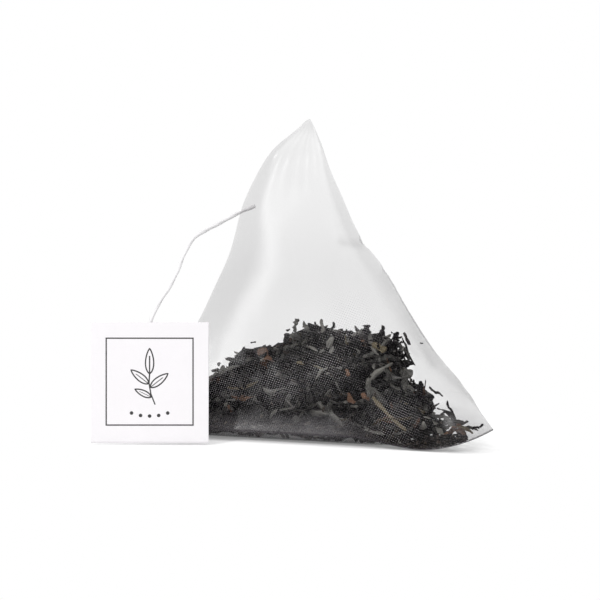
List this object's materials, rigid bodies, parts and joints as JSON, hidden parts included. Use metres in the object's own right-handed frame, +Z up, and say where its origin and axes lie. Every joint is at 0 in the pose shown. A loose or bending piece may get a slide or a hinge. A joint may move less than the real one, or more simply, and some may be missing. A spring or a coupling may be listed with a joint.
{
  "type": "tea bag",
  "caption": "Pyramid tea bag: a see-through woven mesh pouch of loose black leaf tea, with a twisted cotton string and a folded square paper tag.",
  "frame": {"origin": "on the floor, on the flat underside of the pouch", "axes": "+Z up; -Y is the front, which faces the viewer with the tag at the left; +X to the viewer's right"},
  "size_m": [0.0661, 0.0617, 0.0518],
  "materials": {
    "woven_mesh": "fine white translucent woven filament with a slight gloss",
    "tea": "dry black twisted leaf with a few brown and golden pieces",
    "cotton": "white twisted two-ply cotton thread",
    "paper": "smooth matt white tag paper with a plain dark print"
  },
  "bodies": {
    "root": {"mesh_bag": "woven_mesh", "tea_leaves": "tea", "string": "cotton", "tag": "paper"}
  },
  "joints": []
}
